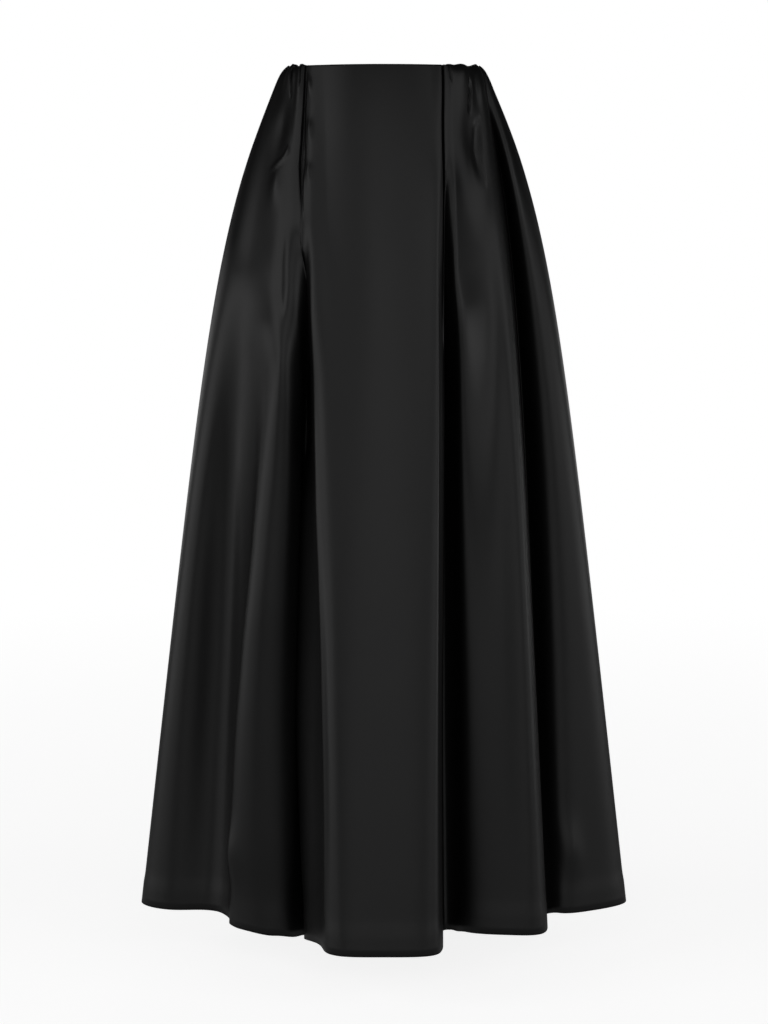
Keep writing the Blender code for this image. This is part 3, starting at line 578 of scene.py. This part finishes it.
class Cloth:
    """The outer face of the whole skirt as a grid of rows by columns, with its creases pressed in."""

    def __init__(self):
        share = np.linspace(0, 1, ROWS)
        self.drops = LENGTH * (ROW_EVENNESS * share + (1 - ROW_EVENNESS) * share ** ROW_GROWTH)
        self.columns = column_places()
        self.angles = waist_angles(self.columns)
        self.points = np.array([section(self.columns, self.angles, drop) for drop in self.drops])
        steps = np.linalg.norm(np.diff(self.points, axis=1), axis=2)
        self.around = np.concatenate([np.zeros((ROWS, 1)), np.cumsum(steps, axis=1)], axis=1)
        self.press = np.zeros_like(self.points)
        self.outward = outwards(self.points)

    def lean(self, first, last, fade_left, fade_right, stops):
        """Shifts a stretch between two waist angles to the right or left, by an amount for each drop."""
        before, after = (first - self.angles) / fade_left, (self.angles - last) / fade_right
        share = soft_step(1 - np.maximum(np.maximum(before, after), 0))
        drops, shifts = zip(*stops)
        self.points[..., 0] += smooth_run(self.drops, drops, shifts)[:, None] * share[None, :]

    def from_path(self, angles):
        """How far along the cloth each point is to the right of a path with one angle for each row."""
        return np.array([row - np.interp(angle, self.angles, row)
                         for row, angle in zip(self.around, angles)])

    def read_stops(self, stops):
        """The values of a table of stops at each row: angle, height or depth, then its widths.

        The height or depth is nil above the first stop and below the last.
        """
        table = np.array(stops)
        values = [smooth_run(self.drops, table[:, 0], column) for column in table[:, 1:].T]
        values[1][(self.drops < table[0, 0]) | (self.drops > table[-1, 0])] = 0
        return values

    def crease(self, opens_towards, side, stops):
        """Presses a crease in, or raises a ridge."""
        angle, depth, wall, floor, rise = self.read_stops(stops)
        past = side * self.from_path(angle)
        wall, floor, rise = wall[:, None], floor[:, None], rise[:, None]
        share = soft_step(past / wall) * soft_step((wall + floor + rise - past) / rise)
        turn = math.radians(opens_towards)
        inwards = np.array([-math.sin(turn), math.cos(turn), 0.0])
        self.press += (depth[:, None] * share)[..., None] * inwards

    def swell(self, stops):
        """Raises a soft ridge, or lowers a soft valley."""
        angle, height, left, right = self.read_stops(stops)
        across = self.from_path(angle)
        share = across / np.where(across < 0, left[:, None], right[:, None])
        self.press += (height[:, None] * np.exp(-(share ** 2)))[..., None] * self.outward

    def pucker(self, drop, angle, height, half_length, half_width):
        """Raises a small mound, or presses a dimple in."""
        across = self.from_path(np.full(len(self.drops), angle)) / half_width
        along = ((self.drops - drop) / half_length)[:, None]
        self.press += (height * np.exp(-(across ** 2) - along ** 2))[..., None] * self.outward

    def hem_turn_up(self):
        """Lets the edge of the turned-up cloth show as a soft step above the hem."""
        below = soft_step((self.drops - (LENGTH - HEM_TURNING)) / HEM_RELIEF_RUN)
        self.press += HEM_RELIEF * below[:, None, None] * self.outward

    def slot(self):
        """Opens the centre back seam round the slider's neck."""
        nearness = SLOT_HALF_WIDTH * soft_step(1 - np.abs(self.drops - SLIDER_DROP) / SLOT_REACH)
        from_left = np.exp(-(self.around / SLOT_FADE) ** 2)
        from_right = np.exp(-((self.around[:, -1:] - self.around) / SLOT_FADE) ** 2)
        self.press[..., 0] += nearness[:, None] * (from_right - from_left)

    def behind_seam(self, drop, across, depth):
        """A place inside the centre back seam, a little across it and behind the cloth's face."""
        place = [np.interp(drop, self.drops, self.points[:, 0, axis]) for axis in range(3)]
        outward = [np.interp(drop, self.drops, self.outward[:, 0, axis]) for axis in range(3)]
        return np.array([across, 0.0, 0.0]) + place - depth * np.array(outward)

    def finish(self):
        """Moves the cloth by all its creases and works out its outward direction again."""
        self.points = self.points + self.press
        self.outward = outwards(self.points)


def turned_edge(points, outward, axis, first, last, keep):
    """Adds the turned-in strips at the first and the last edge along an axis of the grid.

    first and last are how many of the grid's rows or columns each turning covers. The strip rolls
    over the edge and then lies close inside the cloth, so it follows every fold of it. keep is the
    clearance between the layers.
    """
    points, outward = np.moveaxis(points, axis, 0), np.moveaxis(outward, axis, 0)
    inside = points - outward * keep
    roll = points - outward * keep / 2
    before = np.concatenate([inside[1:first + 1][::-1], roll[:1]])
    after = np.concatenate([roll[-1:], inside[-last - 1:-1][::-1]])
    grown = np.concatenate([before, points, after])
    rows = list(range(first, 0, -1)) + [0] + list(range(len(points))) + [-1]
    rows += list(range(-2, -last - 2, -1))
    return np.moveaxis(grown, 0, axis), np.moveaxis(outward[rows], 0, axis)


def material(name, colours, roughness, metallic, bumps):
    """A finish with a little variation in colour and gloss, and with bumps.

    colours and roughness are (lowest, highest). Each bump is (bumps for each metre across the cloth,
    the share of that up the cloth, their height).
    """
    made = bpy.data.materials.new(name)
    made.use_nodes = True
    nodes, links = made.node_tree.nodes, made.node_tree.links
    shader = nodes["Principled BSDF"]
    shader.inputs["Metallic"].default_value = metallic
    place = nodes.new("ShaderNodeTexCoord")
    previous = None
    for scale, upwards, height in bumps:
        stretch = nodes.new("ShaderNodeMapping")
        stretch.inputs["Scale"].default_value = (1, 1, upwards)
        grain = nodes.new("ShaderNodeTexNoise")
        grain.inputs["Scale"].default_value = scale
        grain.inputs["Detail"].default_value = GRAIN_DETAIL
        bump = nodes.new("ShaderNodeBump")
        bump.inputs["Distance"].default_value = height
        links.new(place.outputs["Object"], stretch.inputs["Vector"])
        links.new(stretch.outputs["Vector"], grain.inputs["Vector"])
        links.new(grain.outputs["Fac"], bump.inputs["Height"])
        if previous:
            links.new(previous.outputs["Normal"], bump.inputs["Normal"])
        previous = bump
    links.new(previous.outputs["Normal"], shader.inputs["Normal"])
    patches = nodes.new("ShaderNodeTexNoise")
    patches.inputs["Scale"].default_value = bumps[0][0] * PATCH_SHARE
    links.new(place.outputs["Object"], patches.inputs["Vector"])
    gloss = nodes.new("ShaderNodeMapRange")
    gloss.inputs["To Min"].default_value, gloss.inputs["To Max"].default_value = roughness
    links.new(patches.outputs["Fac"], gloss.inputs["Value"])
    links.new(gloss.outputs["Result"], shader.inputs["Roughness"])
    tint = nodes.new("ShaderNodeValToRGB")
    for stop, colour in zip(tint.color_ramp.elements, colours):
        stop.color = (*colour, 1)
    links.new(patches.outputs["Fac"], tint.inputs["Fac"])
    links.new(tint.outputs["Color"], shader.inputs["Base Color"])
    return made


def thin_curve(name, splines, thickness, finish):
    """Wire or thread that follows runs of places."""
    shape = bpy.data.curves.new(name, "CURVE")
    shape.dimensions = "3D"
    shape.bevel_depth = thickness
    shape.bevel_resolution = 1
    shape.use_fill_caps = True
    for places in splines:
        spline = shape.splines.new("POLY")
        spline.points.add(len(places) - 1)
        for point, place in zip(spline.points, places):
            point.co = (*place, 1)
    shape.materials.append(finish)
    piece = bpy.data.objects.new(name, shape)
    bpy.context.scene.collection.objects.link(piece)
    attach(piece, "skirt")


def zip_details(cloth):
    """The closed coil between the tapes and the stitches that hold the tapes."""
    turns = (COIL_END - COIL_START) / COIL_PITCH
    coil = []
    for step in range(int(turns * COIL_STEPS)):
        angle = 2 * math.pi * step / COIL_STEPS
        drop = COIL_START + COIL_PITCH * step / COIL_STEPS
        inside = TAPE_INSIDE + COIL_DEPTH / 2 * (COIL_SET_IN + math.cos(angle))
        coil.append(cloth.behind_seam(drop, COIL_WIDTH / 2 * math.sin(angle), inside))
    thin_curve("zip_coil", [coil], COIL_WIRE, COIL)
    stitches = []
    for side in (-1, 1):
        for start in np.arange(COIL_START, COIL_END, STITCH_PITCH):
            drops = np.linspace(start, start + STITCH, len(STITCH_LIFTS))
            stitches.append([cloth.behind_seam(drop, side * STITCH_ACROSS, TAPE_INSIDE + THREAD * lift)
                             for drop, lift in zip(drops, STITCH_LIFTS)])
    thin_curve("zip_stitches", stitches, THREAD, SEWING)


def cloth_piece(cloth, name, start, end, held, hem_width, area):
    """One cut piece with its seam allowances, waist turning and hem turned in."""
    first, last = rib(start), rib(end) or len(FOLD_LINES)
    chosen = (cloth.columns >= first) & (cloth.columns <= last)
    grown, outward = turned_edge(cloth.points[:, chosen], cloth.outward[:, chosen], 1,
                                 SEAM_COLUMNS, SEAM_COLUMNS, LAYER)
    waist_rows = int(np.searchsorted(cloth.drops, WAIST_TURNING))
    hem_rows = len(cloth.drops) - int(np.searchsorted(cloth.drops, LENGTH - HEM_TURNING))
    grown, outward = turned_edge(grown, outward, 0, waist_rows, hem_rows, 2 * LAYER)
    rows, columns = grown.shape[:2]
    corners = np.arange(rows * columns).reshape(rows, columns)
    faces = np.stack([corners[:-1, :-1], corners[1:, :-1], corners[1:, 1:], corners[:-1, 1:]], axis=2)
    mesh = bpy.data.meshes.new(name + "_cloth")
    mesh.from_pydata(grown.reshape(-1, 3).tolist(), [], faces.reshape(-1, 4).tolist())
    mesh.shade_smooth()
    mesh.materials.append(SATIN)
    piece = bpy.data.objects.new(name + "_cloth", mesh)
    bpy.context.scene.collection.objects.link(piece)
    thickness = piece.modifiers.new("thickness", "SOLIDIFY")
    thickness.thickness = CLOTH
    thickness.offset = -1
    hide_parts(name)
    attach(piece, "skirt")


def camera():
    """The photograph's camera: level with the hips, looking a little down."""
    scale = LENGTH / MATCHED_LENGTH
    holder = bpy.data.objects.new("camera", bpy.data.cameras.new("camera"))
    holder.location = (0, -CAMERA_DISTANCE * scale, -CAMERA_DROP * scale + EDGE_ABOVE_WAIST)
    holder.rotation_euler = (math.radians(90 - CAMERA_TILT), 0, 0)
    holder.data.lens = CAMERA_LENS
    bpy.context.scene.collection.objects.link(holder)
    bpy.context.scene.camera = holder


def area_light(name, place, target, size, power):
    """A white lamp with a rectangular face, turned to its target. The camera doesn't see it."""
    lamp = bpy.data.objects.new(name, bpy.data.lights.new(name, "AREA"))
    lamp.data.shape = "RECTANGLE"
    lamp.data.size, lamp.data.size_y = size
    lamp.data.energy = power
    lamp.location = place
    lamp.visible_camera = False
    towards = np.array(target) - np.array(place)
    lamp.rotation_euler = Vector(towards).to_track_quat("-Z", "Y").to_euler()
    bpy.context.scene.collection.objects.link(lamp)


def lights():
    """The softboxes in front and the lamps beside and behind."""
    for name, azimuth, width, power in SOFTBOXES:
        angle = math.radians(azimuth)
        place = (SOFTBOX_DISTANCE * math.sin(angle), -SOFTBOX_DISTANCE * math.cos(angle), SOFTBOX_HEIGHT)
        area_light(name, place, SOFTBOX_TARGET, (width, SOFTBOX_TALL), power)
    for row in LAMPS:
        area_light(*row)


def paper_material():
    """White paper, lit near the skirt and plain white far from it."""
    paper = bpy.data.materials.new("paper")
    paper.use_nodes = True
    nodes, links = paper.node_tree.nodes, paper.node_tree.links
    shader = nodes["Principled BSDF"]
    shader.inputs["Base Color"].default_value = PAPER
    shader.inputs["Roughness"].default_value = PAPER_ROUGHNESS
    shader.inputs["Emission Color"].default_value = WHITE
    place = nodes.new("ShaderNodeNewGeometry")
    distance = nodes.new("ShaderNodeVectorMath")
    distance.operation = "LENGTH"
    away = nodes.new("ShaderNodeMapRange")
    away.inputs["From Min"].default_value, away.inputs["From Max"].default_value = FLOOR_FADE
    glow = nodes.new("ShaderNodeEmission")
    seen = nodes.new("ShaderNodeLightPath")
    mix = nodes.new("ShaderNodeMixShader")
    for seen_glow, strength in ((NEAR_FLOOR_SEEN, shader.inputs["Emission Strength"]),
                                (1.0, glow.inputs["Strength"])):
        lift = nodes.new("ShaderNodeMapRange")
        lift.inputs["To Min"].default_value = FLOOR_GLOW
        lift.inputs["To Max"].default_value = seen_glow
        links.new(seen.outputs["Is Camera Ray"], lift.inputs["Value"])
        links.new(lift.outputs["Result"], strength)
    links.new(place.outputs["Position"], distance.inputs[0])
    links.new(distance.outputs["Value"], away.inputs["Value"])
    links.new(away.outputs["Result"], mix.inputs["Fac"])
    links.new(shader.outputs["BSDF"], mix.inputs[1])
    links.new(glow.outputs["Emission"], mix.inputs[2])
    links.new(mix.outputs["Shader"], nodes["Material Output"].inputs["Surface"])
    return paper


def room():
    """A white background that gives the skirt only a faint light of its own."""
    world = bpy.data.worlds.new("studio")
    world.use_nodes = True
    nodes, links = world.node_tree.nodes, world.node_tree.links
    faint = nodes["Background"]
    faint.inputs["Color"].default_value = WHITE
    faint.inputs["Strength"].default_value = ROOM_LIGHT
    behind = nodes.new("ShaderNodeBackground")
    behind.inputs["Color"].default_value = WHITE
    seen = nodes.new("ShaderNodeLightPath")
    mix = nodes.new("ShaderNodeMixShader")
    links.new(seen.outputs["Is Camera Ray"], mix.inputs["Fac"])
    links.new(faint.outputs["Background"], mix.inputs[1])
    links.new(behind.outputs["Background"], mix.inputs[2])
    links.new(mix.outputs["Shader"], nodes["World Output"].inputs["Surface"])
    return world


def stage():
    """A plain white floor below the hem, and the white room round it."""
    bpy.ops.mesh.primitive_circle_add(vertices=FLOOR_SIDES, radius=FLOOR_RADIUS, fill_type="NGON",
                                      location=(0, 0, FLOOR_HEIGHT))
    floor = bpy.context.object
    floor.name = "floor"
    floor.data.materials.append(paper_material())
    bpy.context.scene.world = room()
    bpy.context.scene.view_settings.view_transform = "Standard"


def formed_cloth():
    """The whole cloth with every lean, crease, swell and pucker in it."""
    cloth = Cloth()
    for row in LEANS:
        cloth.lean(*row)
    for _, opens_towards, side, stops in CREASES:
        cloth.crease(opens_towards, side, stops)
    for _, stops in SWELLS:
        cloth.swell(stops)
    for row in PUCKERS:
        cloth.pucker(*row)
    cloth.hem_turn_up()
    cloth.slot()
    cloth.finish()
    return cloth


SATIN = material("satin", metallic=0.0, roughness=(0.39, 0.45),
                 colours=((0.0026, 0.0026, 0.0027), (0.0036, 0.0036, 0.0038)),
                 bumps=((16.0, 0.45, 0.0006), (1400.0, 0.2, 0.00001)))
TAPE = material("woven_tape", metallic=0.0, roughness=(0.80, 0.90),
                colours=((0.008, 0.008, 0.009), (0.014, 0.014, 0.015)),
                bumps=((1100.0, 0.6, 0.00008),))
METAL = material("dark_metal", metallic=0.6, roughness=(0.26, 0.38),
                 colours=((0.014, 0.014, 0.015), (0.030, 0.030, 0.032)),
                 bumps=((260.0, 0.5, 0.00003), (1800.0, 1.0, 0.00001)))
COIL = material("nylon_coil", metallic=0.0, roughness=(0.38, 0.50),
                colours=((0.007, 0.007, 0.008), (0.012, 0.012, 0.013)),
                bumps=((900.0, 1.0, 0.00002),))
SEWING = material("thread", metallic=0.0, roughness=(0.60, 0.72),
                  colours=((0.005, 0.005, 0.005), (0.010, 0.010, 0.010)),
                  bumps=((3000.0, 1.0, 0.00004),))
ZIP_FINISHES = {"zip_tape_left": TAPE, "zip_tape_right": TAPE, "zip_slider": METAL, "zip_pull": METAL}

camera()
skirt_cloth = formed_cloth()
for row in PIECES:
    cloth_piece(skirt_cloth, *row)
zip_details(skirt_cloth)
for name, finish in ZIP_FINISHES.items():
    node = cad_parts[name]
    node.data.materials.clear()
    node.data.materials.append(finish)
lights()
stage()
